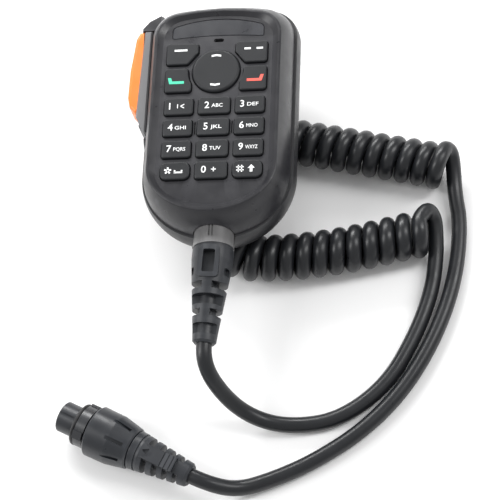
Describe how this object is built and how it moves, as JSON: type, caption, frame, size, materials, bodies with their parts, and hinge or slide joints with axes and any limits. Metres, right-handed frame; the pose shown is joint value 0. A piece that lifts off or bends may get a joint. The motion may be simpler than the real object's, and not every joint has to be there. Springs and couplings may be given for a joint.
{
  "type": "hand microphone",
  "caption": "Hand microphone with a number keypad, a side push-to-talk paddle, a hang-up stud, a curly cord and a round locking plug.",
  "frame": {"origin": "seat of the hang-up stud on the flat back of the microphone", "axes": "+Z out of the keypad face, +Y to the top of the microphone, +X to the right of the keypad; -Z is the way the stud points"},
  "size_m": [0.1507, 0.1863, 0.0455],
  "materials": {
    "front_plastic": "fine moulded texture, satin",
    "rear_plastic": "fine moulded texture, satin",
    "name_plate": "smooth blank plate",
    "collar_plastic": "satin moulded",
    "key_rubber": "soft matt silicone with printed marks",
    "mat_rubber": "soft matt",
    "dome_film": "clear film with metal domes",
    "board": "solder mask",
    "board_parts": "moulded",
    "led": "small lens",
    "capsule_metal": "drawn can",
    "screw_steel": "plated",
    "stud_metal": "turned",
    "clamp_plastic": "moulded",
    "paddle_plastic": "satin moulded",
    "strip_plastic": "orange, satin",
    "boot_rubber": "satin moulded",
    "cord_jacket": "satin polyurethane",
    "wires": "insulated",
    "plug_plastic": "satin moulded",
    "bayonet": "moulded",
    "o_ring": "soft",
    "insert_plastic": "moulded",
    "contacts": "gold plated"
  },
  "bodies": {
    "microphone": {"front_housing": "front_plastic", "rear_housing": "rear_plastic", "name_plate": "name_plate", "gland_collar": "collar_plastic", "keypad_mat": "mat_rubber", "mic_boot": "mat_rubber", "ptt_seal": "mat_rubber", "housing_seal": "mat_rubber", "dome_sheet": "dome_film", "main_board": "board", "board_chips": "board_parts", "board_connector": "board_parts", "ptt_switch": "board_parts", "backlight_leds": "led", "mic_capsule": "capsule_metal", "housing_screws": "screw_steel", "board_screws": "screw_steel", "clamp_screws": "screw_steel", "stud_screw": "screw_steel", "ptt_pin": "screw_steel", "hang_up_stud": "stud_metal", "stud_plate": "stud_metal", "cord_clamp": "clamp_plastic", "cord_boot": "boot_rubber", "plug_boot": "boot_rubber", "cord_mic_side": "cord_jacket", "cord_coil": "cord_jacket", "cord_plug_side": "cord_jacket", "inner_cable": "cord_jacket", "wire_harness": "wires", "plug_shell": "plug_plastic", "plug_collar": "plug_plastic", "bayonet_ring": "bayonet", "plug_o_ring": "o_ring", "contact_insert": "insert_plastic", "contact_pins": "contacts"},
    "ptt": {"ptt_paddle": "paddle_plastic", "ptt_strip": "strip_plastic"},
    "ptt_plunger": {"ptt_plunger": "board_parts"},
    "coupling_sleeve": {"coupling_sleeve": "plug_plastic"},
    "key_1": {"key_1": "key_rubber"},
    "key_2": {"key_2": "key_rubber"},
    "key_3": {"key_3": "key_rubber"},
    "key_4": {"key_4": "key_rubber"},
    "key_5": {"key_5": "key_rubber"},
    "key_6": {"key_6": "key_rubber"},
    "key_7": {"key_7": "key_rubber"},
    "key_8": {"key_8": "key_rubber"},
    "key_9": {"key_9": "key_rubber"},
    "key_star": {"key_star": "key_rubber"},
    "key_0": {"key_0": "key_rubber"},
    "key_hash": {"key_hash": "key_rubber"},
    "soft_key_left": {"soft_key_left": "key_rubber"},
    "soft_key_right": {"soft_key_right": "key_rubber"},
    "call_key": {"call_key": "key_rubber"},
    "end_key": {"end_key": "key_rubber"},
    "nav_key": {"nav_key": "key_rubber"}
  },
  "joints": [
    {"name": "key_1_press", "type": "slide", "parent": "microphone", "child": "key_1", "axis": [0, 0, -1], "range_m": [0, 0.0007], "stiffness_N_per_m": 1500},
    {"name": "key_2_press", "type": "slide", "parent": "microphone", "child": "key_2", "axis": [0, 0, -1], "range_m": [0, 0.0007], "stiffness_N_per_m": 1500},
    {"name": "key_3_press", "type": "slide", "parent": "microphone", "child": "key_3", "axis": [0, 0, -1], "range_m": [0, 0.0007], "stiffness_N_per_m": 1500},
    {"name": "key_4_press", "type": "slide", "parent": "microphone", "child": "key_4", "axis": [0, 0, -1], "range_m": [0, 0.0007], "stiffness_N_per_m": 1500},
    {"name": "key_5_press", "type": "slide", "parent": "microphone", "child": "key_5", "axis": [0, 0, -1], "range_m": [0, 0.0007], "stiffness_N_per_m": 1500},
    {"name": "key_6_press", "type": "slide", "parent": "microphone", "child": "key_6", "axis": [0, 0, -1], "range_m": [0, 0.0007], "stiffness_N_per_m": 1500},
    {"name": "key_7_press", "type": "slide", "parent": "microphone", "child": "key_7", "axis": [0, 0, -1], "range_m": [0, 0.0007], "stiffness_N_per_m": 1500},
    {"name": "key_8_press", "type": "slide", "parent": "microphone", "child": "key_8", "axis": [0, 0, -1], "range_m": [0, 0.0007], "stiffness_N_per_m": 1500},
    {"name": "key_9_press", "type": "slide", "parent": "microphone", "child": "key_9", "axis": [0, 0, -1], "range_m": [0, 0.0007], "stiffness_N_per_m": 1500},
    {"name": "key_star_press", "type": "slide", "parent": "microphone", "child": "key_star", "axis": [0, 0, -1], "range_m": [0, 0.0007], "stiffness_N_per_m": 1500},
    {"name": "key_0_press", "type": "slide", "parent": "microphone", "child": "key_0", "axis": [0, 0, -1], "range_m": [0, 0.0007], "stiffness_N_per_m": 1500},
    {"name": "key_hash_press", "type": "slide", "parent": "microphone", "child": "key_hash", "axis": [0, 0, -1], "range_m": [0, 0.0007], "stiffness_N_per_m": 1500},
    {"name": "soft_key_left_press", "type": "slide", "parent": "microphone", "child": "soft_key_left", "axis": [0, 0, -1], "range_m": [0, 0.0007], "stiffness_N_per_m": 1500},
    {"name": "soft_key_right_press", "type": "slide", "parent": "microphone", "child": "soft_key_right", "axis": [0, 0, -1], "range_m": [0, 0.0007], "stiffness_N_per_m": 1500},
    {"name": "call_key_press", "type": "slide", "parent": "microphone", "child": "call_key", "axis": [0, 0, -1], "range_m": [0, 0.0007], "stiffness_N_per_m": 1500},
    {"name": "end_key_press", "type": "slide", "parent": "microphone", "child": "end_key", "axis": [0, 0, -1], "range_m": [0, 0.0007], "stiffness_N_per_m": 1500},
    {"name": "nav_key_rock", "type": "hinge", "parent": "microphone", "child": "nav_key", "pos_m": [0, -0.009, 0.0231], "axis": [1, 0, 0], "range_deg": [-2.5, 2.5], "stiffness_Nm_per_rad": 0.25},
    {"name": "ptt_press", "type": "hinge", "parent": "microphone", "child": "ptt", "pos_m": [-0.0293, -0.024, 0.012], "axis": [0, 0, -1], "range_deg": [0, 2], "stiffness_Nm_per_rad": 3},
    {"name": "ptt_plunger_slide", "type": "slide", "parent": "microphone", "child": "ptt_plunger", "axis": [1, 0, 0], "range_m": [0, 0.0008]},
    {"name": "coupling_sleeve_turn", "type": "hinge", "parent": "microphone", "child": "coupling_sleeve", "pos_m": [-0.03927, -0.14005, -0.0085], "axis": [0.9063, -0.4226, 0], "continuous": true}
  ],
  "couplings": [
    {"joint": "ptt_plunger_slide", "follows": "ptt_press", "m_per_rad": 0.018}
  ]
}
